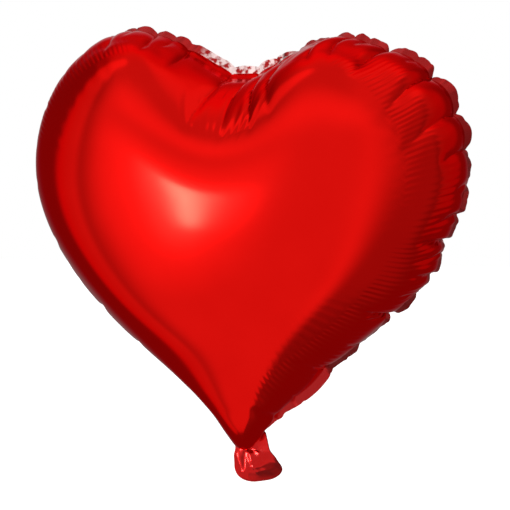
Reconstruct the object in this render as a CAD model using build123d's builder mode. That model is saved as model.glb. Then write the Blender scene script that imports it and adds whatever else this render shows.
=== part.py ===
from build123d import *
import os

# Heart-shaped foil balloon, inflated, in millimetres.
# The origin is the middle of the throat, where the pointed end of the heart narrows into
# its neck and a ribbon is tied. +Z points up to the lobes, and the front faces -Y.
# The two foil panels meet at the seam plane, y = 0.

os.makedirs("parts", exist_ok=True)

# Inflated heart, measured along the line where the two panels part.
HEART_WIDTH = 375.0
LOBE_TOP = 339.0  # height of the two lobes above the throat
CLEFT_DROP = 34.0  # how far the middle of the cleft lies below the lobes
WIDEST_HEIGHT = 238.0
CROWN_HEIGHT = 178.0  # height of the deepest point of each panel
PANEL_DEPTH = 100.0  # from the seam plane to the deepest point
LOBE_SPREAD = 0.52  # distance of a lobe's top from the middle, as a part of the half width

# Film and seal sizes. The films are drawn thicker than real film, so that they are solids.
FOIL = 0.4
SEAL_GAP = 0.6  # between the two panels all round, filled by the perimeter seal
SEAL_WIDTH = 7.0
VALVE_FILM = 0.15
VALVE_BOND = 0.1

# Neck and tail.
NECK_WIDTH = 31.0
NECK_CLEAR = 22.0  # open width between the neck's two edge seals
NECK_LENGTH = 12.0
TAIL_WIDTH = 37.0
TAIL_END = -46.0  # lower end of the tail
TAIL_SHOULDER = 5.0  # height over which the tail widens from the neck's width
TAIL_CORNER = 13.0
TAIL_SEAL = 3.5
INLET_WIDTH = 17.0  # unsealed slit at the tail's end

# Valve: a flat tube of two films, welded along both edges.
VALVE_WIDTH = 21.0
VALVE_WELD = 2.5
VALVE_TOP = 78.0  # free end of the sleeve inside the heart
VALVE_MOUTH_END = -40.0  # lower end of the valve, inside the tail
BOND_TOP = 5.0  # the valve is bonded to the panels from the neck's lower end up to here

# Room left at the two creases, so that the thickened films can fold.
TAIL_CREASE = 2.6
VALVE_CREASE = 0.5

panel_face = SEAL_GAP / 2
bond_face = panel_face - VALVE_BOND
film_face = bond_face - VALVE_FILM
neck_end = -NECK_LENGTH
tail_top = neck_end - TAIL_CREASE
sleeve_bottom = BOND_TOP + VALVE_CREASE


def bulge(level, power):
    """Height of a rounded profile, 1 at level 0 and 0 at level 1."""
    return (1 - level**power) ** (1 / power)


def heart_curves(level, grow):
    """Control points of the heart's outline at one depth level, moved outwards by grow.

    Level 0 is the seam and level 1 the crown. The right half runs from the throat to the
    cleft, and the left half comes back.
    """
    side = HEART_WIDTH / 2 * bulge(level, 2.0) + grow
    side_z = CROWN_HEIGHT + (WIDEST_HEIGHT - CROWN_HEIGHT) * bulge(level, 2.0)
    lobe_z = CROWN_HEIGHT + (LOBE_TOP - CROWN_HEIGHT) * bulge(level, 1.7) + grow
    lobe_x = LOBE_SPREAD * side
    cleft_z = lobe_z - CLEFT_DROP * bulge(level, 1.2)
    tip_x = NECK_CLEAR / 2 * bulge(level, 2.0) + 0.64 * grow
    tip_z = CROWN_HEIGHT * (1 - bulge(level, 1.6)) - 0.7 * grow
    point_slope = 0.43 * (1 - level**1.5)  # the heart's point opens out towards the crown

    right_half = [
        [
            (tip_x, tip_z),
            (tip_x + side * (0.5 - 0.1 * point_slope), tip_z + side * point_slope),
            (side, side_z - (side_z - tip_z) * 0.46),
            (side, side_z),
        ],
        [
            (side, side_z),
            (side, side_z + (lobe_z - side_z) * 0.62),
            (lobe_x + (side - lobe_x) * 0.62, lobe_z),
            (lobe_x, lobe_z),
        ],
        [
            (lobe_x, lobe_z),
            (lobe_x * 0.58, lobe_z),
            (lobe_x * 0.34, cleft_z),
            (0.0, cleft_z),
        ],
    ]
    left_half = [[(-x, z) for x, z in reversed(points)] for points in reversed(right_half)]
    throat_edge = [(-tip_x, tip_z), (tip_x, tip_z)]
    return [throat_edge] + right_half + left_half


def seam_plane(distance):
    """A plane in front of the seam plane and parallel to it, with its normal to the front."""
    return Plane.XZ.offset(distance)


def between(low, high):
    """Middle and difference of two heights."""
    return (low + high) / 2, high - low


LEVELS = [0.0, 0.1, 0.25, 0.42, 0.6, 0.76, 0.89, 0.97]
neck_middle, neck_height = between(neck_end, BOND_TOP)

# Perimeter seal: the band where the panels are welded together, all round the heart and
# down both edges of the neck. Between them the neck stays open for the valve.
with BuildPart() as perimeter_seal:
    with BuildSketch(seam_plane(-panel_face)):
        with BuildLine():
            for points in heart_curves(0.0, SEAL_WIDTH):
                Bezier(*points)
        make_face()
        with Locations((0, neck_middle)):
            Rectangle(NECK_WIDTH, neck_height)
        with BuildLine():
            for points in heart_curves(0.0, -FOIL):
                Bezier(*points)
        make_face(mode=Mode.SUBTRACT)
        with Locations((0, neck_middle)):
            Rectangle(NECK_CLEAR, neck_height, mode=Mode.SUBTRACT)
    extrude(amount=SEAL_GAP)
perimeter_seal.part.label = "perimeter_seal"
export_step(perimeter_seal.part, "parts/perimeter_seal.step")

# Front panel: a thin dome with its seam margin and its side of the neck.
with BuildPart() as front_panel:
    with BuildSketch(seam_plane(panel_face)):
        with BuildLine():
            for points in heart_curves(0.0, SEAL_WIDTH):
                Bezier(*points)
        make_face()
        with Locations((0, neck_middle)):
            Rectangle(NECK_WIDTH, neck_height)
    extrude(amount=FOIL)
    for level in LEVELS:
        with BuildSketch(seam_plane(panel_face + PANEL_DEPTH * level)):
            with BuildLine():
                for points in heart_curves(level, 0.0):
                    Bezier(*points)
            make_face()
    loft()
    for level in LEVELS:
        with BuildSketch(seam_plane(panel_face + (PANEL_DEPTH - FOIL) * level)):
            with BuildLine():
                for points in heart_curves(level, -FOIL):
                    Bezier(*points)
            make_face()
    loft(mode=Mode.SUBTRACT)
front_panel.part.label = "front_panel"
export_step(front_panel.part, "parts/front_panel.step")

# Rear panel: the front panel's mirror image.
with BuildPart() as rear_panel:
    mirror(front_panel.part, about=Plane.XZ)
rear_panel.part.label = "rear_panel"
export_step(rear_panel.part, "parts/rear_panel.step")

# Valve bonds: thin welds that hold the valve's outer faces to the two panels in the neck.
with BuildPart() as valve_front_bond:
    with BuildSketch(seam_plane(bond_face)):
        with Locations((0, neck_middle)):
            Rectangle(VALVE_WIDTH, neck_height)
    extrude(amount=VALVE_BOND)
valve_front_bond.part.label = "valve_front_bond"
export_step(valve_front_bond.part, "parts/valve_front_bond.step")

with BuildPart() as valve_rear_bond:
    mirror(valve_front_bond.part, about=Plane.XZ)
valve_rear_bond.part.label = "valve_rear_bond"
export_step(valve_rear_bond.part, "parts/valve_rear_bond.step")

# Release coat: the layer that keeps the valve's channel open where the neck is welded.
with BuildPart() as valve_release_coat:
    with BuildSketch(seam_plane(-film_face)):
        with Locations((0, neck_middle)):
            Rectangle(VALVE_WIDTH - 2 * VALVE_WELD, neck_height)
    extrude(amount=2 * film_face)
valve_release_coat.part.label = "valve_release_coat"
export_step(valve_release_coat.part, "parts/valve_release_coat.step")

# Valve films and welds, in three stretches that meet at the creases: the mouth in the
# tail, the neck, and the free sleeve inside the heart.
VALVE_STRETCHES = {
    "valve_mouth": (VALVE_MOUTH_END, tail_top),
    "valve_neck": (neck_end, BOND_TOP),
    "valve_sleeve": (sleeve_bottom, VALVE_TOP),
}

for stretch, (low, high) in VALVE_STRETCHES.items():
    middle, height = between(low, high)

    with BuildPart() as front_film:
        with BuildSketch(seam_plane(film_face)):
            with Locations((0, middle)):
                Rectangle(VALVE_WIDTH, height)
        extrude(amount=VALVE_FILM)
    front_film.part.label = stretch + "_front_film"
    export_step(front_film.part, "parts/" + stretch + "_front_film.step")

    with BuildPart() as rear_film:
        mirror(front_film.part, about=Plane.XZ)
    rear_film.part.label = stretch + "_rear_film"
    export_step(rear_film.part, "parts/" + stretch + "_rear_film.step")

    weld_x = (VALVE_WIDTH - VALVE_WELD) / 2
    with BuildPart() as welds:
        with BuildSketch(seam_plane(-film_face)):
            with Locations((-weld_x, middle), (weld_x, middle)):
                Rectangle(VALVE_WELD, height)
        extrude(amount=2 * film_face)
    welds.part.label = stretch + "_welds"
    export_step(welds.part, "parts/" + stretch + "_welds.step")


def tail_outline(inset):
    """Corner points and arcs of the tail's paddle, moved inwards by inset."""
    neck = NECK_WIDTH / 2 - inset
    half = TAIL_WIDTH / 2 - inset
    end = TAIL_END + inset
    shoulder = tail_top - TAIL_SHOULDER
    corner = TAIL_CORNER - inset
    return neck, half, end, shoulder, corner


def draw_tail(inset):
    """Edges of the tail's paddle as point lists, from the crease down and round."""
    neck, half, end, shoulder, corner = tail_outline(inset)
    right = [
        [(neck, tail_top), (half, tail_top - 0.4 * TAIL_SHOULDER), (half, shoulder)],
        [(half, shoulder), (half, end + corner)],
        [(half, end + corner), (half, end), (half - corner, end)],
    ]
    left = [[(-x, z) for x, z in reversed(points)] for points in reversed(right)]
    end_edge = [(half - corner, end), (corner - half, end)]
    crease_edge = [(-neck, tail_top), (neck, tail_top)]
    return right + [end_edge] + left + [crease_edge]


# Tail edge seal: a U-shaped weld that leaves the inlet slit open at the end.
with BuildPart() as tail_edge_seal:
    with BuildSketch(seam_plane(-panel_face)):
        with BuildLine():
            for points in draw_tail(0.0):
                Bezier(*points)
        make_face()
        with BuildLine():
            for points in draw_tail(TAIL_SEAL):
                Bezier(*points)
        make_face(mode=Mode.SUBTRACT)
        with Locations((0, TAIL_END)):
            Rectangle(INLET_WIDTH, 3 * TAIL_SEAL, mode=Mode.SUBTRACT)
    extrude(amount=SEAL_GAP)
tail_edge_seal.part.label = "tail_edge_seal"
export_step(tail_edge_seal.part, "parts/tail_edge_seal.step")

# Tail films: the ends of the two foil panels below the crease.
with BuildPart() as tail_front_film:
    with BuildSketch(seam_plane(panel_face)):
        with BuildLine():
            for points in draw_tail(0.0):
                Bezier(*points)
        make_face()
    extrude(amount=FOIL)
tail_front_film.part.label = "tail_front_film"
export_step(tail_front_film.part, "parts/tail_front_film.step")

with BuildPart() as tail_rear_film:
    mirror(tail_front_film.part, about=Plane.XZ)
tail_rear_film.part.label = "tail_rear_film"
export_step(tail_rear_film.part, "parts/tail_rear_film.step")
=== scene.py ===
import math

import bpy
import numpy as np
from mathutils import Matrix, Vector


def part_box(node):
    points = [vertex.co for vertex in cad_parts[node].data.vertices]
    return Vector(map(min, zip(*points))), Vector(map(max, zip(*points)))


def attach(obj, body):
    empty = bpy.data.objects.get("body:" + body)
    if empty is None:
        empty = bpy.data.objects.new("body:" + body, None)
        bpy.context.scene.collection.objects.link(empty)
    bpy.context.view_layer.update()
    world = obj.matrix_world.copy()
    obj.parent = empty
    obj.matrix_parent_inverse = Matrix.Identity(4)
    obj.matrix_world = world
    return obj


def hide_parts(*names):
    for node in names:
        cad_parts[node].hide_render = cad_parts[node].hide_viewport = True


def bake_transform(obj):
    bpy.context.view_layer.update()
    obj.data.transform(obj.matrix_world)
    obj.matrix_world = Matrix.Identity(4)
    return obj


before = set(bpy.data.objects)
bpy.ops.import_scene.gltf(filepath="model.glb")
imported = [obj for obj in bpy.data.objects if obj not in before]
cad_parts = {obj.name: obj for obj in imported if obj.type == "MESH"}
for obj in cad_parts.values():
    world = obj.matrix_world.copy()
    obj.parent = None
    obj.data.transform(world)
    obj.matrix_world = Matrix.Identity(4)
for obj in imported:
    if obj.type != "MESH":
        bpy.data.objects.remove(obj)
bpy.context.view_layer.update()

# All shapes are worked out in millimetres, and meshes are written in metres.
# x runs to the right, y to the rear and z up; the front panel faces -y.
MM = 0.001

# ---- sizes from the frame
tail_low, tail_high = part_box("tail_front_film")
NECK_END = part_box("perimeter_seal")[0][2] / MM
TAIL_TOP = tail_high[2] / MM
TAIL_END = tail_low[2] / MM
TAIL_HALF = tail_high[0] / MM
SEAL_WIDTH = 7.0  # of the welded margin round the heart
MARGIN_RINGS = 2  # rings of points across it, besides the seam

# ---- smooth curves


def smooth_step(x, low, high):
    """0 below low, 1 above high and smooth between."""
    t = np.clip((x - low) / (high - low), 0, 1)
    return t * t * (3 - 2 * t)


def window(x, low, high, soft):
    """1 between low and high, fading to 0 over soft on both sides."""
    return smooth_step(x, low - soft, low) * (1 - smooth_step(x, high, high + soft))


def bell(x, middle, width):
    """1 at the middle, and falling off smoothly to both sides."""
    return np.exp(-(((x - middle) / width) ** 2))


def wander(x, seed, scale):
    """A smooth random curve of a periodic place 0 to 1, from -1 to 1."""
    rng = np.random.default_rng(seed)
    knots = rng.uniform(-1, 1, scale)
    s = (x % 1.0) * scale
    i = s.astype(int)
    t = s - i
    t = t * t * (3 - 2 * t)
    return knots[i % scale] * (1 - t) + knots[(i + 1) % scale] * t


def bezier(points, count):
    """Points along a cubic curve."""
    t = np.linspace(0, 1, count)[:, None]
    a, b, c, d = (np.array(p, float) for p in points)
    return (1 - t) ** 3 * a + 3 * (1 - t) ** 2 * t * b + 3 * (1 - t) * t * t * c + t**3 * d


def catmull(p0, p1, p2, p3, t):
    """Smooth curve through p1 and p2."""
    return 0.5 * (2 * p1 + (p2 - p0) * t + (2 * p0 - 5 * p1 + 4 * p2 - p3) * t * t
                  + (3 * p1 - p0 - 3 * p2 + p3) * t**3)


# ---- flat heart pattern
# The flat panel before inflation. Blowing it up draws the outline in to about 0.83.
FLAT_WIDTH = 450.0
FLAT_LOBE_TOP = 386.0
FLAT_CLEFT = 374.0
FLAT_WIDEST = 245.0
FLAT_LOBE_X = 106.0
FLAT_NECK = 18.0
CLEFT_SIDEWAYS = 7.0  # the cleft sits a little to the right of the middle
POINT_ANGLE = 1.044  # of the lower edges from the upright, in radians
# How strongly the curves between these points run on in their direction at each end.
POINT_RUN = 108.0
SIDE_RUN_DOWN = 112.0
SIDE_RUN_UP = 80.0
LOBE_RUN = 60.0
CLEFT_RUN = 40.0
FLAT_CENTRE = np.array([0.0, FLAT_LOBE_TOP * 0.56])  # the rings of a panel shrink to here
LAST_RING = 0.03  # size of the smallest ring, with the outermost as 1


def heart_pattern(count):
    """Evenly spaced points round the flat heart, from the throat's right corner, upwards."""
    corner = np.array([FLAT_NECK / 2, 0.0])
    side = np.array([FLAT_WIDTH / 2, FLAT_WIDEST])
    lobe = np.array([FLAT_LOBE_X, FLAT_LOBE_TOP])
    slope = np.array([math.sin(POINT_ANGLE), math.cos(POINT_ANGLE)])
    lower = bezier([corner, corner + POINT_RUN * slope, side - [0, SIDE_RUN_DOWN], side], 300)
    shoulder = bezier([side, side + [0, SIDE_RUN_UP], lobe + [LOBE_RUN, 0], lobe], 200)
    halves = []
    for sideways in (CLEFT_SIDEWAYS, -CLEFT_SIDEWAYS):
        cleft = np.array([sideways, FLAT_CLEFT])
        dip = bezier([lobe, lobe - [LOBE_RUN, 0], cleft + [CLEFT_RUN, 0], cleft], 200)
        halves.append(np.vstack([lower, shoulder[1:], dip[1:]]))
    right, left = halves[0], halves[1][::-1] * [-1, 1]
    loop = np.vstack([right, left[1:], right[:1]])
    along = np.r_[0, np.cumsum(np.linalg.norm(np.diff(loop, axis=0), axis=1))]
    s = np.arange(count) / count * along[-1]
    return np.c_[np.interp(s, along, loop[:, 0]), np.interp(s, along, loop[:, 1])], along[-1]


def pattern_radius(outline):
    """Distances of the flat outline from the centre."""
    return np.linalg.norm(outline - FLAT_CENTRE, axis=1)


def ring_levels(count):
    """Rings from the seam to the centre as (size, points); rings halve as they get small."""
    outline, length = heart_pattern(count)
    radius = pattern_radius(outline).mean()
    levels = []
    size = 1.0
    points = count
    while size > LAST_RING:
        levels.append((size, points))
        step = length / points
        size -= step / radius
        if size * length / points < 0.6 * step and points > 12:
            points //= 2
    return levels


def panel_faces(levels):
    """Faces of one panel. Vertices are stored ring by ring, then the centre."""
    faces = []
    start = 0
    for (_, n), (_, m) in zip(levels, levels[1:]):
        inner = start + n
        i = np.arange(m)
        if n == m:
            j = (i + 1) % n
            faces += np.c_[start + i, start + j, inner + j, inner + i].tolist()
        else:
            a, b, c = start + 2 * i, start + 2 * i + 1, start + (2 * i + 2) % n
            p, q = inner + i, inner + (i + 1) % m
            faces += np.c_[a, b, p].tolist() + np.c_[b, q, p].tolist() + np.c_[b, c, q].tolist()
        start = inner
    n = levels[-1][1]
    faces += [[start + i, start + (i + 1) % n, start + n] for i in range(n)]
    return faces


def flat_panel(levels, outline):
    """Flat positions (x, z) of one panel's vertices."""
    count = len(outline)
    rings = [FLAT_CENTRE + size * (outline[:: count // n] - FLAT_CENTRE) for size, n in levels]
    return np.vstack(rings + [FLAT_CENTRE[None]])


def outward(outline):
    """Unit normals of a closed outline, pointing out."""
    along = np.roll(outline, -1, 0) - np.roll(outline, 1, 0)
    normal = np.c_[along[:, 1], -along[:, 0]]
    return normal / np.linalg.norm(normal, axis=1)[:, None]


PINNED_REACH = 17.0  # the seam stays in its plane this near to the throat


class Balloon:
    """The flat two-panel envelope: its vertices and faces at one resolution.

    Vertex order: front panel (its first ring is the seam), rear panel without the seam,
    then the rings of the welded margin from the seam outwards.
    """

    def __init__(self, count, levels=None):
        self.count = count
        outline, length = heart_pattern(count)
        self.spacing = length / count
        self.levels = levels or ring_levels(count)
        flat = flat_panel(self.levels, outline)
        n = len(flat)
        self.panel_size = n
        rear_index = np.arange(n) + n - count
        rear_index[:count] = np.arange(count)
        self.rear_index = rear_index
        self.front_faces = panel_faces(self.levels)
        self.rear_faces = [[int(rear_index[v]) for v in reversed(f)] for f in self.front_faces]
        rows = [flat, flat[count:]]
        margin = []
        previous = np.arange(count)
        total = 2 * n - count
        for k in range(MARGIN_RINGS):
            rows.append(outline + outward(outline) * SEAL_WIDTH * (k + 1) / MARGIN_RINGS)
            ring = np.arange(count) + total
            total += count
            following = np.roll(ring, -1)
            margin += np.c_[ring, following, np.roll(previous, -1), previous].tolist()
            previous = ring
        flat_all = np.vstack(rows)
        self.flat = np.c_[flat_all[:, 0], np.zeros(len(flat_all)), flat_all[:, 1]]
        # -1 on the front panel, 1 on the rear one, and 0 on the seam and the margin
        self.side = np.r_[np.zeros(count), -np.ones(n - count), np.ones(n - count)]
        self.side = np.r_[self.side, np.zeros(MARGIN_RINGS * count)]
        self.pinned = np.hypot(self.flat[:, 0], self.flat[:, 2]) < PINNED_REACH
        self.pinned &= self.side == 0
        self.margin_faces = margin


def triangles(faces):
    """Each four-sided face cut in two."""
    out = []
    for f in faces:
        out.append(f[:3])
        if len(f) == 4:
            out.append([f[0], f[2], f[3]])
    return np.array(out)


def links(faces):
    """Edges and diagonals of the faces."""
    pairs = set()
    for f in faces:
        for a, b in zip(f, f[1:] + f[:1]):
            pairs.add((min(a, b), max(a, b)))
        if len(f) == 4:
            pairs.add((min(f[0], f[2]), max(f[0], f[2])))
            pairs.add((min(f[1], f[3]), max(f[1], f[3])))
    return np.array(sorted(pairs))


def fold_links(faces, side):
    """Pairs of vertices that face each other across an edge, within one film."""
    across = {}
    pairs = []
    for t in triangles(faces).tolist():
        for a, b, c in ((t[0], t[1], t[2]), (t[1], t[2], t[0]), (t[2], t[0], t[1])):
            edge = (min(a, b), max(a, b))
            if edge in across:
                if side[across[edge]] * side[c] >= 0:
                    pairs.append((across[edge], c))
            else:
                across[edge] = c
    return np.array(pairs)


def independent_groups(pairs):
    """Splits links into groups in which no vertex appears twice."""
    used = [0] * (int(pairs.max()) + 1)
    group = np.zeros(len(pairs), int)
    for k, (a, b) in enumerate(pairs.tolist()):
        taken = used[a] | used[b]
        c = 0
        while taken >> c & 1:
            c += 1
        group[k] = c
        used[a] |= 1 << c
        used[b] |= 1 << c
    return [np.nonzero(group == c)[0] for c in range(group.max() + 1)]


def link_groups(pairs, rest):
    """Groups of (first, second, rest length)."""
    length = np.linalg.norm(rest[pairs[:, 0]] - rest[pairs[:, 1]], axis=1)
    good = length > 1e-6
    pairs, length = pairs[good], length[good]
    return [(pairs[g, 0], pairs[g, 1], length[g][:, None]) for g in independent_groups(pairs)]


def normal_sums(x, skin):
    """For each vertex, the sum of its triangles' normals, each as long as twice their area."""
    a, b, c = skin.T
    normal = np.cross(x[b] - x[a], x[c] - x[a])
    total = np.zeros_like(x)
    for corner in (a, b, c):
        for axis in range(3):
            total[:, axis] += np.bincount(corner, normal[:, axis], len(x))
    return total


def vertex_normals(x, faces):
    """Unit normals of a sheet's vertices."""
    total = normal_sums(x, triangles(faces))
    return total / (np.linalg.norm(total, axis=1)[:, None] + 1e-12)


def pull(x, groups, if_long, if_short):
    """Moves both ends of each link by a share of what it is too long or too short."""
    for i, j, length in groups:
        gap = x[i] - x[j]
        now = np.sqrt((gap * gap).sum(1))[:, None] + 1e-9
        share = np.where(now > length, if_long, if_short)
        move = gap * (share * (now - length) / now)
        x[i] -= move
        x[j] += move


def inflate(balloon, start, steps, push=0.004, shorten=0.5, fold=0.05, damping=0.96):
    """Gas pressure on a film that doesn't stretch: returns the vertices after some steps.

    push is the pressure, shorten how firmly the film resists being gathered, fold how firmly
    it resists being bent, and damping the part of the motion that is kept at each step.
    """
    faces = balloon.front_faces + balloon.rear_faces
    everything = faces + balloon.margin_faces
    skin = triangles(faces)
    film = link_groups(links(everything), balloon.flat)
    folds = link_groups(fold_links(everything, balloon.side), balloon.flat)
    spacing = np.median(np.concatenate([g[2][:, 0] for g in film]))
    x = start.copy()
    velocity = np.zeros_like(x)
    for _ in range(steps):
        before = x.copy()
        x = x + velocity * damping + push / (3 * spacing) * normal_sums(x, skin)
        for _ in range(2):
            pull(x, film, 0.5, 0.5 * shorten)
            pull(x, folds, 0.0, 0.5 * fold)
        x[balloon.pinned, 1] = 0
        velocity = x - before
    return x


def refine_ring(ring, count):
    """More points on a closed ring, through the old ones."""
    n = len(ring)
    s = np.arange(count) * n / count
    i = s.astype(int)
    t = (s - i)[:, None]
    return catmull(ring[(i - 1) % n], ring[i % n], ring[(i + 1) % n], ring[(i + 2) % n], t)


def refine_panel(panel, levels, fine_levels, count):
    """A panel's shape carried over to a finer set of rings."""
    rings = []
    start = 0
    for _, n in levels:
        rings.append(refine_ring(panel[start:start + n], count))
        start += n
    rings.append(np.repeat(panel[start:start + 1], count, 0))
    field = np.array(rings)
    sizes = np.array([size for size, _ in levels] + [0.0])
    out = []
    last = len(sizes) - 1
    for size, n in fine_levels + [(0.0, 1)]:
        place = np.interp(-size, -sizes, np.arange(last + 1))
        k = min(int(place), last - 1)
        t = place - k
        every = slice(None, None, count // n)
        p0 = 2 * field[0] - field[1] if k == 0 else field[k - 1]
        p3 = field[last] if k + 2 > last else field[k + 2]
        out.append(catmull(p0[every], field[k][every], field[k + 1][every], p3[every], t))
    return np.vstack(out)


def refine(balloon, x, fine):
    """The shape of one balloon mesh carried over to a finer one."""
    n = balloon.panel_size
    front = refine_panel(x[:n], balloon.levels, fine.levels, fine.count)
    rear = refine_panel(x[balloon.rear_index], balloon.levels, fine.levels, fine.count)
    rows = [front, rear[fine.count:]]
    start = 2 * n - balloon.count
    for k in range(MARGIN_RINGS):
        ring = x[start + k * balloon.count:start + (k + 1) * balloon.count]
        rows.append(refine_ring(ring, fine.count))
    return np.vstack(rows)


# ---- shape of this balloon
# An inflated heart is uneven. These functions move the simulated points x a little.
CLEFT_X = 9.0  # where the cleft's lowest point is
CLEFT_Z = 296.5
CLEFT_CURVE = 0.0115  # how fast the top edge rises from there, per millimetre
CLEFT_REACH = 46.0  # how far to either side it keeps this shape
CLEFT_FADE = 34.0  # and over how much more this dies away
CLEFT_EDGE = 4.0  # the welded edge stands this far out of the cleft
LOBE_RISE = 6.0  # the right lobe is a little fuller towards the cleft
LOBE_X = 62.0
LEFT_FILL = 8.0  # the left lobe's face bulges forward next to the cleft
LEFT_X = -46.0
LEFT_Z = 296.0
EDGE_FULL = 9.0  # the lower right edge is fuller next to the throat
MIDDLE_HEIGHT = 175.0  # of the point that the outline is seen from in DRAWN_IN
# Places round the heart, as seen from its middle, where the edge lies further in: degrees
# above the right, width in degrees, millimetres.
DRAWN_IN = ((0.0, 9.0, 7.0), (50.0, 8.0, 8.0))
POUCH_DROP = 23.0  # the front panel hangs this far over the top of the neck


def settle_throat(balloon, x):
    """Brings the throat to the origin, over the neck."""
    half = round(0.5 * FLAT_NECK / balloon.spacing)
    throat = x[np.arange(-2 * half, 1)].mean(0)
    near = 1 - smooth_step(x[:, 2], 10.0, 150.0)
    x[:, 0] -= throat[0] * near
    x[:, 2] -= throat[2]


def settle_cleft(balloon, x):
    """Gives the top edge between the lobes its curve, and raises the weld in it."""
    seam = x[: balloon.count]
    top = seam[(seam[:, 2] > 240) & (np.abs(seam[:, 0] - CLEFT_X) < 90)]
    top = top[np.argsort(top[:, 0])]
    wanted = CLEFT_Z + CLEFT_CURVE * (top[:, 0] - CLEFT_X) ** 2
    change = np.interp(x[:, 0], top[:, 0], wanted - top[:, 2])
    off_middle = np.abs(x[:, 0] - CLEFT_X)
    aside = 1 - smooth_step(off_middle, CLEFT_REACH, CLEFT_REACH + CLEFT_FADE)
    x[:, 2] += change * aside * smooth_step(x[:, 2], 215.0, 300.0)
    at_seam = bell(x[:, 1], 0.0, 7.0)
    x[:, 2] += CLEFT_EDGE * aside * at_seam * smooth_step(x[:, 2], 240.0, 290.0)


def settle_lobes(x):
    """Fills the right lobe's top and the left lobe's face next to the cleft."""
    x[:, 2] += LOBE_RISE * bell(x[:, 0], LOBE_X, 18.0) * smooth_step(x[:, 2], 240.0, 300.0)
    beside = np.exp(-(((x[:, 0] - LEFT_X) / 24.0) ** 2) - ((x[:, 2] - LEFT_Z) / 26.0) ** 2)
    x[:, 1] -= LEFT_FILL * beside * smooth_step(-x[:, 1], 2.0, 24.0)


def settle_outline(x):
    """Fills the lower right edge, and draws the outline in where DRAWN_IN says."""
    edge = np.array([math.sin(POINT_ANGLE), 0.0, math.cos(POINT_ANGLE)])
    out = np.array([edge[2], 0.0, -edge[0]])
    full = window(x @ edge, 45.0, 85.0, 40.0) * (1 - smooth_step(-x @ out, 10.0, 60.0))
    x += EDGE_FULL * full[:, None] * out

    away = np.hypot(x[:, 0], x[:, 2] - MIDDLE_HEIGHT)
    angle = np.degrees(np.arctan2(x[:, 2] - MIDDLE_HEIGHT, x[:, 0]))
    for place, width, size in DRAWN_IN:
        pull = size * bell(angle, place, width) * smooth_step(away, 70.0, 190.0)
        x[:, 0] -= pull * np.cos(np.radians(angle))
        x[:, 2] -= pull * np.sin(np.radians(angle))


def settle_pouch(x):
    """Lets the front panel hang over the top of the neck."""
    forward = smooth_step(-x[:, 1], 0.2, 15.0)
    low = 1 - smooth_step(x[:, 2], 4.0, 90.0)
    x[:, 2] -= POUCH_DROP * forward * low * bell(x[:, 0], 1.0, 28.0)


START_STEP = 5.6  # about the distance between the first mesh's points


def blown_up():
    """Inflates the flat envelope, first coarse and then finer."""
    rng = np.random.default_rng(1)
    coarse = Balloon(240)
    x = coarse.flat.copy()
    x[:, 1] += coarse.side * 0.3 * START_STEP + rng.normal(0, 0.03 * START_STEP, len(x))
    x = inflate(coarse, x, 450)
    middle = Balloon(480)
    x = refine(coarse, x, middle)
    x = inflate(middle, x, 120)
    settle_throat(middle, x)
    settle_cleft(middle, x)
    settle_lobes(x)
    settle_outline(x)
    settle_pouch(x)
    return middle, x


# ---- the finished surface
FINE_COUNT = 1280
FINE_STEP = 2.2  # distance between the rings of the finished surface
PLEATED_BAND = 62.0  # the rings keep all their points this far in from the seam
EVEN_FROM = 26.0  # further in than this, the film's own wrinkles are evened out
EVEN_FULL = 58.0  # and further in than this, fully
SEAM_BAND = 9.0  # this close to the seam, a pleat draws the film in with the seam


def finished_levels(count):
    """Rings of the finished surface: fine along the seam, where the pleats are."""
    outline, length = heart_pattern(count)
    radius = pattern_radius(outline).mean()
    levels = []
    size, points = 1.0, count
    while size > LAST_RING:
        levels.append((size, points))
        step = FINE_STEP if points == count else max(FINE_STEP, 0.9 * size * length / points)
        size -= step / radius
        inside = (1 - size) * radius > PLEATED_BAND
        if inside and size * length / points < 0.75 * FINE_STEP and points > 20:
            points //= 2
    return levels


class Place:
    """Where each vertex of a panel lies in the flat pattern: how far round, and how far in."""

    def __init__(self, levels, count):
        outline, length = heart_pattern(count)
        reach = pattern_radius(outline)
        round_, inward = [], []
        for size, n in levels:
            every = slice(None, None, count // n)
            round_.append(np.arange(n) / n)
            inward.append((1 - size) * reach[every])
        self.round = np.concatenate(round_ + [[0.0]])
        self.size = np.concatenate([[size] * n for size, n in levels] + [[LAST_RING]])
        self.inward = np.concatenate(inward + [[reach.mean()]])
        self.length = length


# Deep pleats: where they start on the seam, where they end, their length into the panel
# and their depth.
PLEATS = (
    (0.045, 0.046, 22, 1.0),
    (0.075, 0.077, 36, 1.6),
    (0.108, 0.110, 30, 1.3),
    (0.138, 0.140, 44, 2.0),
    (0.168, 0.169, 32, 1.6),
    (0.200, 0.200, 46, 2.2),
    (0.232, 0.231, 40, 2.2),
    (0.254, 0.252, 24, 1.6),
    (0.279, 0.273, 48, 4.2),
    (0.306, 0.290, 78, 5.6),
    (0.339, 0.324, 76, 5.8),
    (0.358, 0.354, 24, 1.4),
    (0.379, 0.359, 74, 5.6),
    (0.398, 0.390, 30, 1.8),
    (0.410, 0.381, 70, 3.2),
    (0.426, 0.393, 78, 3.8),
    (0.453, 0.397, 126, 2.8),
    (0.468, 0.418, 130, 3.0),
    (0.484, 0.481, 112, 3.0),
    (0.508, 0.550, 120, 3.2),
    (0.545, 0.566, 60, 3.0),
    (0.558, 0.572, 36, 1.6),
    (0.572, 0.592, 66, 3.4),
    (0.590, 0.600, 34, 1.6),
    (0.606, 0.622, 70, 2.6),
    (0.630, 0.640, 40, 1.8),
    (0.652, 0.662, 46, 1.8),
    (0.680, 0.688, 40, 1.6),
    (0.716, 0.720, 30, 1.4),
    (0.760, 0.760, 24, 1.2),
    (0.806, 0.806, 34, 1.6),
    (0.850, 0.850, 26, 1.2),
    (0.884, 0.884, 34, 1.6),
    (0.925, 0.925, 26, 1.4),
    (0.962, 0.962, 16, 1.0),
)
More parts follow.
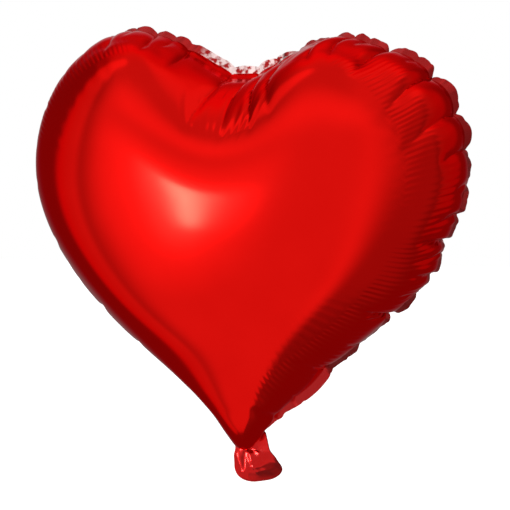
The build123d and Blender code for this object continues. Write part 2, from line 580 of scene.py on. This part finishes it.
PLEAT_SPREAD = 4.5  # how far a pleat draws the film in to either side, in times its depth


def pleat_depth(place, reach):
    """How far pleats draw the film in. Lengths are scaled by reach."""
    spots = np.array([p[0] for p in PLEATS])
    before = np.diff(np.r_[spots[-1] - 1, spots])
    after = np.diff(np.r_[spots, spots[0] + 1])
    depth = np.zeros(len(place.round))
    scale = place.length * place.size
    for (start, end, length, size), left, right, stretch in zip(PLEATS, before, after, reach):
        run = start + (end - start) * np.clip(place.inward / length, 0, 1.2) ** 2
        away = (place.round - run + 0.5) % 1.0 - 0.5
        half = np.minimum(np.where(away < 0, left, right) * 0.5 * scale, PLEAT_SPREAD * size)
        u = 0.97 - 0.97 * np.clip(np.abs(away) * scale / half, 0, 1)
        arc = 1 - np.sqrt(np.clip(1 - u * u, 0, 1))
        fade = 1 - smooth_step(place.inward, 0.5 * length * stretch, length * stretch)
        depth = np.maximum(depth, size * (0.35 * u * u + 0.65 * arc) * fade)
    return depth


# Patches of fine ripples: where they start and end round the seam, how far in from the
# seam, their spacing along it and their height.
RIPPLES = (
    (0.03, 0.27, 20.0, 68.0, 6.2, 0.20),
    (0.285, 0.375, 44.0, 76.0, 5.4, 0.20),
    (0.43, 0.54, 70.0, 106.0, 5.6, 0.24),
    (0.60, 0.70, 42.0, 84.0, 5.4, 0.20),
)


def ripple_height(place, seed):
    """Fine radial ripples in the film near the seam."""
    height = np.zeros(len(place.round))
    for k, (first, last, near, far, spacing, size) in enumerate(RIPPLES):
        waves = round(place.length / spacing)
        shift = 1.6 * wander(place.round, seed + k, 40) + 0.02 * place.inward
        strength = 0.62 + 0.38 * wander(place.round, seed + 10 + k, 90)
        edge = 10.0 * wander(place.round, seed + 20 + k, 34)
        patch = window(place.round, first, last, 0.012)
        patch = patch * window(place.inward + edge, near, far, 12.0)
        wave = np.cos(2 * math.pi * (waves * place.round) + shift)
        height += size * strength * patch * wave
    return height


def even_out(flat, x, weight, degree=9):
    """Replaces the weighted part of a panel by a smooth surface through it."""
    u, v = flat[:, 0] / (FLAT_WIDTH / 2), (flat[:, 2] - FLAT_CENTRE[1]) / FLAT_CENTRE[1]
    terms = np.stack([u**i * v**j for i in range(degree + 1) for j in range(degree + 1 - i)], 1)
    used = weight > 0
    fit, *_ = np.linalg.lstsq(terms[used], x[used], rcond=None)
    return x + weight[:, None] * (terms @ fit - x)


def soften_ring(ring, spread):
    """A closed ring of points without waves shorter than about spread millimetres."""
    n = len(ring)
    step = np.linalg.norm(np.roll(ring, -1, 0) - ring, axis=1).mean()
    wave = np.fft.fftfreq(n, step)
    keep = np.exp(-2 * (math.pi * wave * spread / 2) ** 2)
    return np.fft.ifft(np.fft.fft(ring, axis=0) * keep[:, None], axis=0).real


# Stretches of the seam whose own wrinkles are evened out before the pleats are laid in:
# where they start and end, how far in they are evened out fully, how far in not at all, and
# the length of wave that is lost.
EVENED = (
    (0.035, 0.10, 30.0, 60.0, 26.0),
    (0.255, 0.74, 24.0, 56.0, 26.0),
    (0.435, 0.565, 34.0, 90.0, 46.0),
)


def even_rings(rings, y, strength, spread):
    """Takes the short waves out of rings of points, by a strength for each point."""
    for start, n, index in rings:
        part = strength[start:start + n]
        if part.max() > 0:
            ring = y[index]
            y[index] += part[:, None] * (soften_ring(ring, spread) - ring)


def panel_rings(fine, index):
    """Start, size and vertices of each ring of a panel."""
    start = 0
    for _, n in fine.levels:
        yield start, n, index[start:start + n]
        start += n


def seam_outward(seam):
    """Directions in the seam's plane that point away from the balloon."""
    calm = soften_ring(seam, 24.0)
    along = np.roll(calm, -2, 0) - np.roll(calm, 2, 0)
    out = np.c_[along[:, 2], np.zeros(len(seam)), -along[:, 0]]
    return out / np.linalg.norm(out, axis=1)[:, None]


THROAT_EXTRA = 0.8  # the margin is wider next to the throat
FLANGE_ARCH = 15.0  # typical width of the small arches along the margin's edge
FLANGE_LEAN = 66.0  # how far the margin leans to the rear, in degrees
# Changes to this lean: where they start and end round the seam, how softly, and degrees.
FLANGE_STRETCHES = (
    (0.008, 0.072, 0.008, -58.0),
    (0.100, 0.140, 0.015, 6.0),
    (0.170, 0.275, 0.015, 14.0),
    (0.285, 0.405, 0.015, -20.0),
    (0.470, 0.545, 0.018, -44.0),
    (0.560, 0.640, 0.015, -4.0),
    (0.660, 0.975, 0.020, 16.0),
)


def flange(seam, notch, length):
    """Rings of the welded margin round the finished seam.

    notch is how far each point of the seam is drawn in by a pleat, and length the seam's
    length. The margin is calmer in the cleft and next to the throat.
    """
    count = len(seam)
    spot = np.arange(count) / count
    out = seam_outward(seam)
    throat = smooth_step(np.minimum(spot, 1 - spot), 0.0, 0.012)
    phase = round(length / FLANGE_ARCH) * spot + 0.8 * wander(spot, 9, 60)
    arches = np.abs(np.sin(math.pi * phase))
    cleft = window(spot, 0.44, 0.55, 0.02)
    calm = np.maximum(0.8 * cleft, window(spot, 0.008, 0.085, 0.01))
    pinch = 1 - 0.6 * np.clip(notch / 4.5, 0, 1) * (1 - calm)
    width = SEAL_WIDTH * pinch + 1.2 * (arches - 0.4) * throat * (1 - calm)
    width = width + THROAT_EXTRA * window(spot, 0.010, 0.085, 0.01)
    lean = FLANGE_LEAN + 13.0 * wander(spot, 21, 70) * (1 - 0.7 * calm)
    for first, last, soft, change in FLANGE_STRETCHES:
        lean = lean + change * window(spot, first, last, soft)
    lean = np.radians(lean) * throat
    swing = 0.9 * wander(spot, 7, 150) + 0.35 * wander(spot, 8, 420)
    swing = swing * (1 - cleft) + cleft * 0.9 * wander(spot, 12, 330)
    back = np.array([0.0, 1.0, 0.0])
    rings = []
    for k in range(MARGIN_RINGS):
        share = (k + 1) / MARGIN_RINGS
        reach = out * np.cos(lean)[:, None] + back * np.sin(lean)[:, None]
        across = back * np.cos(lean)[:, None] - out * np.sin(lean)[:, None]
        rings.append(seam + share * (reach * width[:, None] + across * (swing * throat)[:, None]))
    return rings


def finished(balloon, x):
    """The simulated balloon on a finer mesh, with its pleats and ripples."""
    fine = Balloon(FINE_COUNT, finished_levels(FINE_COUNT))
    y = refine(balloon, x, fine)
    n, count = fine.panel_size, fine.count
    place = Place(fine.levels, count)
    calm = smooth_step(place.inward, EVEN_FROM, EVEN_FULL)
    panels = ((fine.front_faces, np.arange(n), 5), (fine.rear_faces, fine.rear_index, 55))
    # The rear panel's pleats are up to 15% longer or shorter than the front one's.
    stretches = [np.ones(len(PLEATS)), np.random.default_rng(55).uniform(0.85, 1.15, len(PLEATS))]
    for _, index, _ in panels:
        y[index] = even_out(fine.flat[index], y[index], calm)
    for first, last, full, none, spread in EVENED:
        strength = window(place.round, first, last, 0.03)
        strength = strength * (1 - smooth_step(place.inward, full, none))
        for k, (_, index, _) in enumerate(panels):
            rings = [r for r in panel_rings(fine, index) if k == 0 or r[0] > 0]
            even_rings(rings, y, strength, spread)

    # The seam is drawn in at every pleat; each panel is drawn in along its own normal.
    notch = pleat_depth(place, stretches[0])[:count]
    out = seam_outward(y[:count])
    column = np.round(place.round * count).astype(int) % count
    near = (1 - smooth_step(place.inward, 0.0, SEAM_BAND))[:, None]
    move = np.zeros_like(y)
    for (faces, index, seed), reach in zip(panels, stretches):
        normal = vertex_normals(y, faces)[index]
        height = ripple_height(place, seed) - pleat_depth(place, reach)
        inwards = -out[column] * notch[column][:, None]
        move[index] = near * inwards + (1 - near) * normal * height[:, None]
    y += move
    margin = 2 * n - count
    for k, ring in enumerate(flange(y[:count], notch, place.length)):
        y[margin + k * count:margin + (k + 1) * count] = ring
    return fine, y


def mesh_object(name, vertices, faces):
    """A new mesh object from millimetre vertices."""
    mesh = bpy.data.meshes.new(name)
    mesh.from_pydata((np.asarray(vertices) * MM).tolist(), [], faces)
    mesh.validate()
    mesh.polygons.foreach_set("use_smooth", [True] * len(mesh.polygons))
    mesh.set_sharp_from_angle(angle=math.radians(60))
    mesh.update()
    piece = bpy.data.objects.new(name, mesh)
    bpy.context.scene.collection.objects.link(piece)
    return piece


# ---- thin films from one sheet
FILM = 0.35  # thickness of a foil film as drawn
SEAL_HALF = 0.12  # half the thickness of the weld between the two films


def boundary(faces):
    """Directed edges that only one face uses, in the order of the faces."""
    edges = dict.fromkeys((a, b) for f in faces for a, b in zip(f, f[1:] + f[:1]))
    return [(a, b) for a, b in edges if (b, a) not in edges]


def between(near, far, faces):
    """A closed solid between two copies of a sheet, near on the side its faces look to."""
    n = len(near)
    solid = list(faces) + [[v + n for v in reversed(f)] for f in faces]
    solid += [[b, a, a + n, b + n] for a, b in boundary(faces)]
    return np.vstack([near, far]), solid


def only_used(faces):
    """The vertices that faces use, and the faces with those vertices renumbered from 0."""
    used = np.unique(np.concatenate([np.array(f) for f in faces]))
    place = np.full(used[-1] + 1, -1)
    place[used] = np.arange(len(used))
    return used, [[int(place[v]) for v in f] for f in faces]


def sheet_film(name, x, faces, low, high):
    """One film of the envelope: a sheet between two offsets along its normals."""
    used, local = only_used(faces)
    sheet = x[used]
    normal = vertex_normals(sheet, local)
    return mesh_object(name, *between(sheet + normal * high, sheet + normal * low, local))


# ---- materials
PAINTED_HIGHLIGHT_REACH = 44.0  # how far from the cleft's middle the weld carries the painted highlight
# The weld's pale silver-pink colour in the cleft: a painted highlight.
PAINTED_HIGHLIGHT_COLOR = (0.95, 0.70, 0.68, 1)


def fill(tree, node, inputs):
    """Sets a node's inputs to values, or links them to the outputs of other nodes."""
    for name, value in inputs.items():
        if isinstance(value, bpy.types.NodeSocket):
            tree.links.new(value, node.inputs[name])
        else:
            node.inputs[name].default_value = value


def new_node(tree, kind, inputs, **settings):
    """A new shader node with its settings and inputs."""
    node = tree.nodes.new("ShaderNode" + kind)
    for name, value in settings.items():
        setattr(node, name, value)
    fill(tree, node, inputs)
    return node


def noise(tree, place, scale, detail=2.0):
    """A cloudy pattern from 0 to 1, its scale in patches per metre."""
    inputs = {"Vector": place, "Scale": scale, "Detail": detail}
    return new_node(tree, "TexNoise", inputs).outputs["Fac"]


def map_range(tree, value, ends):
    """A value carried over from one range to another, both 0 to 1 where ends says nothing."""
    return new_node(tree, "MapRange", {"Value": value, **ends}).outputs["Result"]


def mix_colors(tree, share, first, second):
    """The first colour where the share is 0, and the second where it is 1."""
    inputs = {"Factor": share, "A": first, "B": second}
    return new_node(tree, "Mix", inputs, data_type="RGBA").outputs["Result"]


def new_material(name):
    """A new material, its node tree and its main shader."""
    material = bpy.data.materials.new(name)
    material.use_nodes = True
    tree = material.node_tree
    return material, tree, tree.nodes["Principled BSDF"]


def painted_highlight_share(tree, place, painted_highlight):
    """How strongly the painted highlight shows, from 0 to the given strength: ragged patches round
    the cleft's middle.
    """
    middle = (CLEFT_X * MM, 0, CLEFT_Z * MM)
    away = new_node(tree, "VectorMath", {0: place, 1: middle}, operation="DISTANCE")
    ends = {
        "From Min": PAINTED_HIGHLIGHT_REACH * MM,
        "From Max": 1.25 * PAINTED_HIGHLIGHT_REACH * MM,
        "To Min": painted_highlight,
        "To Max": 0.0,
    }
    near = map_range(tree, away.outputs["Value"], ends)
    ragged = map_range(tree, noise(tree, place, 190.0), {"From Min": 0.40, "From Max": 0.54})
    return new_node(tree, "Math", {0: near, 1: ragged}, operation="MULTIPLY").outputs["Value"]


def foil_material(name, color, rough, grain, grain_size, coat, edge, painted_highlight=0.0):
    """Metallised film: satin, with slight differences in gloss and a faint grain.

    In the cleft the colour can turn pale silver-pink round the middle: a painted highlight.
    """
    material, tree, shader = new_material(name)
    place = new_node(tree, "TexCoord", {}).outputs["Object"]
    cloud = noise(tree, place, 22.0, 4.0)
    darker = (color[0] * 0.9, color[1] * 0.7, color[2] * 0.7, 1)
    lacquer = mix_colors(tree, cloud, (*color, 1), darker)
    bump = {"Height": noise(tree, place, grain_size, 3.0), "Strength": grain, "Distance": 0.0002}
    fill(tree, shader, {
        "Metallic": 1.0,
        # red lacquer, with the painted highlight mixed in round the cleft
        "Base Color": mix_colors(tree, painted_highlight_share(tree, place, painted_highlight), lacquer, PAINTED_HIGHLIGHT_COLOR),
        "Specular Tint": (*edge, 1),
        "Roughness": map_range(tree, cloud, {"To Min": rough - 0.03, "To Max": rough + 0.03}),
        "Coat Weight": coat,
        "Coat Roughness": 0.22,
        "Normal": new_node(tree, "Bump", bump).outputs["Normal"],
    })
    return material


def clear_material(name, color, rough, transmission):
    """Plain valve film or ink, slightly cloudy."""
    material, tree, shader = new_material(name)
    place = new_node(tree, "TexCoord", {}).outputs["Object"]
    cloud = noise(tree, place, 160.0, 5.0)
    darker = (*(0.85 * c for c in color), 1)
    fill(tree, shader, {
        "Base Color": mix_colors(tree, cloud, (*color, 1), darker),
        "Roughness": map_range(tree, cloud, {"To Min": rough - 0.08, "To Max": rough + 0.08}),
        "Transmission Weight": transmission,
        "IOR": 1.5,
    })
    return material


def floor_material():
    """A matt pale floor that keeps an even tone right up to the horizon."""
    material, tree, shader = new_material("pale_floor")
    fill(tree, shader, {
        "Base Color": (0.9, 0.9, 0.9, 1),
        "Roughness": 0.7,
        "Emission Color": (1, 1, 1, 1),
        "Emission Strength": 0.6,
    })
    return material


def dress(piece, material, node):
    """Gives a piece its material, and hides the CAD node it stands for."""
    piece.data.materials.append(material)
    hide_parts(node)


foil = foil_material(
    "red_foil", (0.80, 0.0055, 0.0035), rough=0.125, grain=0.05, grain_size=900.0,
    coat=0.02, edge=(0.9, 0.40, 0.42))
# The tail's darker copy of the red foil: its darker colour is painted shade.
shaded_tail_foil = foil_material(
    "shaded_tail_foil", (0.56, 0.004, 0.003), rough=0.10, grain=0.08, grain_size=600.0,
    coat=0.25, edge=(0.9, 0.5, 0.5))
# The weld: a darker copy of the red foil, which is painted shade, with a painted highlight in the
# cleft.
weld = foil_material(
    "welded_foil_painted_shade_highlight", (0.42, 0.004, 0.004), rough=0.14, grain=0.20, grain_size=420.0,
    coat=0.35, edge=(0.9, 0.3, 0.3), painted_highlight=1.0)
valve_film = clear_material("valve_film", (0.86, 0.88, 0.90), 0.22, 0.8)
release_ink = clear_material("release_ink", (0.10, 0.32, 0.30), 0.62, 0.0)

# ---- envelope
balloon, shape = finished(*blown_up())
ENVELOPE_PIECES = (
    ("front_panel_foil", balloon.front_faces, 0.0, foil, "front_panel", "red_foil"),
    ("rear_panel_foil", balloon.rear_faces, 0.0, foil, "rear_panel", "red_foil"),
    ("perimeter_seal_weld", balloon.margin_faces, -FILM, weld, "perimeter_seal", "seal_weld"),
)
for name, faces, low, material, node, slot in ENVELOPE_PIECES:
    piece = sheet_film(name, shape, faces, low, FILM)
    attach(piece, "envelope")
    dress(piece, material, node)

# ---- neck and tail
NECK_HALF = 15.5  # half the neck's width
NECK_TOP = 4.5  # the neck's films reach this far up into the throat
NECK_TUCK = 13.0  # half the width of the neck's top edge, tucked into the throat
SHOULDER = 9.0  # height over which the tail widens
TAIL_ROUND = 15.5  # radius of the tail's lower corners
TAIL_SEAL = 3.5  # width of the tail's edge weld
TAIL_LEAN = 9.5  # how far the tail's end hangs to the right
TAIL_TWIST = 42.0  # degrees that its end turns to the right
TAIL_SWING = 8.0  # and to the rear
TAIL_PUFF = 4.4  # a little gas is caught in the tail
FOLD_FLAT = 2.5  # the films lie flat this far to either side of the fold line
FILM_GAP = 0.25  # each film keeps about this far off the weld
TAIL_LOW = TAIL_END + 3.0  # the puffed tail is drawn up a little
TAIL_COLUMNS = 61
TAIL_ROWS = 101


def hang(points):
    """Neck and tail lean to the right and to the rear as they hang down."""
    drop = np.clip(points[:, 2] / TAIL_END, 0, None)
    below = np.clip((points[:, 2] - TAIL_TOP) / (TAIL_END - TAIL_TOP), 0, None)
    out = points.copy()
    out[:, 0] += TAIL_LEAN * drop
    out[:, 1] += TAIL_SWING * below**1.3
    out[:, 1] += points[:, 0] * math.tan(math.radians(TAIL_TWIST)) * smooth_step(below, 0, 1)
    return out


def tail_half_width(z):
    """Half the width of the neck and tail at a height."""
    width = NECK_HALF + (TAIL_HALF - NECK_HALF) * smooth_step(-z, -NECK_END, -NECK_END + SHOULDER)
    width = width - (NECK_HALF - NECK_TUCK) * smooth_step(z, 0.0, NECK_TOP)
    low = np.clip(TAIL_LOW + TAIL_ROUND - z, 0, TAIL_ROUND)
    return width - TAIL_ROUND + np.sqrt(TAIL_ROUND**2 - low**2)


def grid_faces(rows, columns):
    """Faces of a grid of points stored row by row, seen from the front."""
    faces = []
    for r in range(rows - 1):
        for c in range(columns - 1):
            k = r * columns + c
            faces.append([k, k + columns, k + columns + 1, k + 1])
    return faces


def tail_grid():
    """Points and faces of a sheet shaped like the neck and tail, closer rows at its end."""
    t = np.linspace(0, 1, TAIL_ROWS)
    z = NECK_TOP + (TAIL_LOW - NECK_TOP) * (1 - (1 - t) ** 1.4)
    u = np.sin(np.linspace(-1, 1, TAIL_COLUMNS) * math.pi / 2)
    x = tail_half_width(z)[:, None] * u[None, :]
    points = np.c_[x.ravel(), np.zeros(x.size), np.repeat(z, TAIL_COLUMNS)]
    return points, grid_faces(TAIL_ROWS, TAIL_COLUMNS)


def crinkle(x, z, seed, spacing):
    """Small irregular waves, from about -1 to 1."""
    rng = np.random.default_rng(seed)
    total = np.zeros(len(x))
    for _ in range(7):
        angle = rng.uniform(0, math.pi)
        wave = 2 * math.pi / (spacing * rng.uniform(0.7, 1.5))
        total += np.sin(wave * (x * math.cos(angle) + z * math.sin(angle)) + rng.uniform(0, 6.3))
    return total / 3.5


def fold_line(x, z, start, end, width):
    """A ridge of height 1 along a line between two points of the sheet."""
    p, q = np.array(start, float), np.array(end, float)
    along = q - p
    t = np.clip(((x - p[0]) * along[0] + (z - p[1]) * along[1]) / (along @ along), 0, 1)
    away = np.hypot(x - p[0] - t * along[0], z - p[1] - t * along[1])
    return np.exp(-((away / width) ** 2))


# Creases of the neck's front: start, end, width and height, in the flat sheet.
NECK_CREASES = (
    ((-12, 1), (7, -17), 1.9, 0.9),
    ((11, 1), (-7, -16), 1.8, 0.8),
    ((1, 2), (3, -14), 1.5, 0.6),
    ((-7, -16), (-11, -33), 2.6, 0.8),
    ((-3, -16), (1, -38), 2.4, 1.0),
    ((-2, -29), (11, -26), 1.6, 0.7),
    ((0, -34), (12, -31), 1.7, 0.8),
)


def tail_puff(points, front):
    """How far the tail's front or rear film stands off the middle."""
    seed, sign = (3, 1) if front else (4, -1)
    x, z = points[:, 0], points[:, 2]
    edge = np.minimum(tail_half_width(z) - np.abs(x), z - TAIL_LOW)
    parted = smooth_step(edge, 0.6 * TAIL_SEAL, 4.2 * TAIL_SEAL)
    body = TAIL_PUFF * smooth_step(-z, 8, 30)
    rough = 0.2 * crinkle(x, z, seed, 12.0) * smooth_step(edge, 0.0, 6.0)
    creases = sum(h * fold_line(sign * x, z, p, q, w) for p, q, w, h in NECK_CREASES)
    flat = 1 - 0.85 * bell(z, (NECK_END + TAIL_TOP) / 2, FOLD_FLAT)
    return (parted * (body + creases) + rough) * flat + FILM_GAP


def layer(points, faces, front, back):
    """A closed thin layer over a sheet, between two offsets along y."""
    near, far = points.copy(), points.copy()
    near[:, 1] += front
    far[:, 1] += back
    return between(near, far, faces)


def tail_film(name, front):
    """The front or rear film of the neck and tail."""
    points, faces = tail_grid()
    puff = tail_puff(points, front) + SEAL_HALF
    hung = hang(points)
    if front:
        return mesh_object(name, *layer(hung, faces, -puff - FILM, -puff))
    return mesh_object(name, *layer(hung, faces, puff, puff + FILM))


def edge_weld(name):
    """The weld between the tail's films: a band down one side, round the end and up."""
    count, across = 161, 5
    t = np.linspace(0, 1, count)
    top = TAIL_TOP - 0.5
    path = []
    for inset in np.linspace(0, TAIL_SEAL, across):
        z = np.clip(top + (TAIL_LOW + inset - top) * np.sin(math.pi * t), None, top)
        half = np.maximum(tail_half_width(np.maximum(z, TAIL_LOW + 1e-6)) - inset, 0)
        x = np.where(t < 0.5, -half, half)
        path.append(np.c_[x, np.zeros(count), z])
    hung = hang(np.vstack(path))
    return mesh_object(name, *layer(hung, grid_faces(across, count), -SEAL_HALF, SEAL_HALF))


STRIP_STEP = 1.5  # distance between the points of a strip


def strip(x_range, z_range, front, back):
    """A flat strip of valve material with the neck's and tail's lean."""
    rows = max(3, int((z_range[1] - z_range[0]) / STRIP_STEP))
    columns = max(3, int((x_range[1] - x_range[0]) / STRIP_STEP))
    x, z = np.meshgrid(np.linspace(*x_range, columns), np.linspace(z_range[1], z_range[0], rows))
    points = np.c_[x.ravel(), np.zeros(x.size), z.ravel()]
    return layer(hang(points), grid_faces(rows, columns), front, back)


def strips(name, parts):
    """One object made of several strips."""
    vertices, faces, start = [], [], 0
    for points, solid in parts:
        vertices.append(points)
        faces += [[v + start for v in f] for f in solid]
        start += len(points)
    return mesh_object(name, np.vstack(vertices), faces)


FOLD_ROOM = 1.0  # the fold begins this far inside the ends of the neck and the tail
CREASE_TOP = NECK_END + FOLD_ROOM
CREASE_LOW = TAIL_TOP - FOLD_ROOM
for name, front, node in (
    ("tail_front_foil", True, "tail_front_film"),
    ("tail_rear_foil", False, "tail_rear_film"),
):
    film = tail_film(name, front)
    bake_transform(film)
    dress(film, shaded_tail_foil, node)

tail_weld = edge_weld("tail_edge_weld")
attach(tail_weld, "tail")
dress(tail_weld, weld, "tail_edge_seal")

# ---- valve
VALVE_HALF = 10.5  # half the valve's width
VALVE_WELD = 2.5  # width of the weld down each side
VALVE_IN, VALVE_OUT = 0.06, 0.20  # inner and outer faces of a valve film, from the middle
BOND_OUT = 0.30  # outer face of a bond
COAT_OUT = 0.8 * VALVE_IN  # faces of the release coat
VALVE_OPEN = VALVE_HALF - VALVE_WELD  # half the open width between the welds
VALVE_WIDE = (-VALVE_HALF, VALVE_HALF)
VALVE_INSIDE = (-VALVE_OPEN, VALVE_OPEN)
VALVE_SIDES = ((-VALVE_HALF, -VALVE_OPEN), (VALVE_OPEN, VALVE_HALF))
# The valve's stretches stop short of its two creases, so that they stay apart in a fold.
NECK_HEIGHTS = (CREASE_TOP, 8.0)
SLEEVE_HEIGHTS = (11.0, 78.0)
MOUTH_HEIGHTS = (-40.0, CREASE_LOW)


def valve_piece(name, parts, body, node, material=valve_film):
    """A layer of the valve, made of strips, that moves with a body."""
    piece = strips(name, parts)
    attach(piece, body)
    dress(piece, material, node)


for stretch, body, heights in (
    ("valve_neck", "envelope", NECK_HEIGHTS),
    ("valve_sleeve", "valve_sleeve", SLEEVE_HEIGHTS),
    ("valve_mouth", "tail", MOUTH_HEIGHTS),
):
    front = [strip(VALVE_WIDE, heights, -VALVE_OUT, -VALVE_IN)]
    rear = [strip(VALVE_WIDE, heights, VALVE_IN, VALVE_OUT)]
    welds = [strip(side, heights, -VALVE_IN, VALVE_IN) for side in VALVE_SIDES]
    valve_piece(stretch + "_front", front, body, stretch + "_front_film")
    valve_piece(stretch + "_rear", rear, body, stretch + "_rear_film")
    valve_piece(stretch + "_weld", welds, body, stretch + "_welds")

coat = [strip(VALVE_INSIDE, NECK_HEIGHTS, -COAT_OUT, COAT_OUT)]
front_bond = [strip(VALVE_WIDE, NECK_HEIGHTS, -BOND_OUT, -VALVE_OUT)]
rear_bond = [strip(VALVE_WIDE, NECK_HEIGHTS, VALVE_OUT, BOND_OUT)]
valve_piece("valve_release_layer", coat, "envelope", "valve_release_coat", release_ink)
valve_piece("valve_front_bond_layer", front_bond, "envelope", "valve_front_bond")
valve_piece("valve_rear_bond_layer", rear_bond, "envelope", "valve_rear_bond")

# ---- studio
FLOOR_Z = -330.0
FLOOR_HALF = 4000.0
FLOOR_CORNERS = ((-1, -1), (1, -1), (1, 1), (-1, 1))
floor_points = [(x * FLOOR_HALF, y * FLOOR_HALF, FLOOR_Z) for x, y in FLOOR_CORNERS]
floor = mesh_object("floor", floor_points, [[0, 1, 2, 3]])
floor.data.materials.append(floor_material())
floor.visible_glossy = False


def direction(azimuth, elevation):
    """The unit vector towards a camera at that azimuth and elevation, in degrees."""
    a, e = math.radians(azimuth), math.radians(elevation)
    return Vector((math.sin(a) * math.cos(e), -math.cos(a) * math.cos(e), math.sin(e)))


class Studio:
    """The light that surrounds the balloon, as soft panels on a sphere."""

    def __init__(self, base):
        world = bpy.data.worlds.new("studio")
        bpy.context.scene.world = world
        world.use_nodes = True
        self.tree = world.node_tree
        self.where = new_node(self.tree, "TexCoord", {}).outputs["Generated"]
        self.total = base

    def math(self, operation, *inputs):
        """A calculation on values or on the outputs of other nodes."""
        node = new_node(self.tree, "Math", dict(enumerate(inputs)), operation=operation)
        return node.outputs[0]

    def along(self, vector):
        """How far the direction that light comes from reaches along a vector."""
        inputs = {0: self.where, 1: vector}
        return new_node(self.tree, "VectorMath", inputs, operation="DOT_PRODUCT").outputs["Value"]

    def edge(self, offset, half, soft):
        """1 inside a half width, in degrees, fading out over soft degrees."""
        inputs = {
            "Value": self.math("ABSOLUTE", offset),
            "From Min": math.radians(half),
            "From Max": math.radians(half + soft),
            "To Min": 1,
            "To Max": 0,
        }
        node = new_node(self.tree, "MapRange", inputs, interpolation_type="SMOOTHSTEP")
        return node.outputs["Result"]

    def panel(self, azimuth, elevation, half_width, half_height, soft, strength, down=None, roll=0):
        """Adds a soft-edged rectangle of light, its place and sizes in degrees.

        It reaches down below its middle as far as up, or as far as given, and its top leans
        to the right by roll.
        """
        toward = direction(azimuth, elevation)
        right = direction(azimuth + 90, 0)
        up = toward.cross(right)
        c, s = math.cos(math.radians(roll)), math.sin(math.radians(roll))
        right, up = right * c - up * s, up * c + right * s
        ahead = self.along(toward)
        across = self.math("ARCTAN2", self.along(right), ahead)
        rise = self.math("ARCTAN2", self.along(up), self.math("ABSOLUTE", ahead))
        down = half_height if down is None else down
        above = self.edge(self.math("MAXIMUM", rise, 0.0), half_height, soft)
        below = self.edge(self.math("MINIMUM", rise, 0.0), down, soft)
        beside = self.edge(across, half_width, soft)
        mask = self.math("MULTIPLY", beside, self.math("MULTIPLY", above, below))
        self.total = self.math("ADD", self.math("MULTIPLY", mask, strength), self.total)

    def finish(self, backdrop):
        """Lights the scene, and shows the camera a plain pale backdrop instead."""
        camera = self.tree.nodes.new("ShaderNodeLightPath").outputs["Is Camera Ray"]
        seen = self.math("MULTIPLY", camera, backdrop)
        hidden = self.math("MULTIPLY", self.math("SUBTRACT", 1.0, camera), self.total)
        strength = self.math("ADD", seen, hidden)
        inputs = {"Color": (1, 1, 1, 1), "Strength": strength}
        fill(self.tree, self.tree.nodes["Background"], inputs)


VIEW_AZIMUTH = 21.0
VIEW_ELEVATION = 5.0
# Each panel's azimuth, elevation, half width, half height, softness and strength.
studio = Studio(0.27)
# The broad light on the face, down to the floor.
studio.panel(VIEW_AZIMUTH - 23, 0, 44, 44, 30, 0.62, down=90)
# The lamp that makes the highlight on the left lobe, and the glow round it.
studio.panel(VIEW_AZIMUTH - 45.5, 1, 0.4, 6, 1.8, 95.0, roll=9)
studio.panel(VIEW_AZIMUTH - 48.5, 1, 0.5, 8, 7, 3.6, roll=9)
studio.panel(VIEW_AZIMUTH - 54, 2, 4, 12, 24, 0.35)
# Dimmer light on the right.
studio.panel(VIEW_AZIMUTH + 50, -5, 14, 50, 30, 0.15)
studio.panel(VIEW_AZIMUTH + 80, 45, 24, 14, 26, 0.09)
# Bands to the left, to the right and behind, which the edges mirror.
studio.panel(VIEW_AZIMUTH - 99, 0, 7, 70, 9, 0.48)
studio.panel(VIEW_AZIMUTH + 103, 25, 9, 45, 14, 0.2)
studio.panel(VIEW_AZIMUTH + 180, 38, 8, 20, 34, 0.34)
# Light from above.
studio.panel(VIEW_AZIMUTH - 20, 84, 20, 20, 34, 0.46)
studio.finish(1.0)

# ---- camera
VIEW_ROLL = -1.5
VIEW_DISTANCE = 1000.0
AIM_HEIGHT = 170.0
SENSOR = 36.0
FIELD_WIDTH = 431.5  # millimetres across the picture, at the balloon
SHIFT_ACROSS = 0.0216  # the balloon stands a little to the left of the middle
SHIFT_UP = -0.0373  # and a little above it
camera_data = bpy.data.cameras.new("camera")
camera = bpy.data.objects.new("camera", camera_data)
bpy.context.scene.collection.objects.link(camera)
bpy.context.scene.camera = camera
back = direction(VIEW_AZIMUTH, VIEW_ELEVATION)
camera.location = Vector((0, 0, AIM_HEIGHT * MM)) + back * VIEW_DISTANCE * MM
turn = back.to_track_quat("Z", "Y").to_matrix() @ Matrix.Rotation(math.radians(VIEW_ROLL), 3, "Z")
camera.rotation_euler = turn.to_euler()
camera_data.sensor_width = SENSOR
camera_data.lens = SENSOR * VIEW_DISTANCE / FIELD_WIDTH
camera_data.shift_x = SHIFT_ACROSS
camera_data.shift_y = SHIFT_UP

bpy.context.scene.view_settings.view_transform = "Standard"
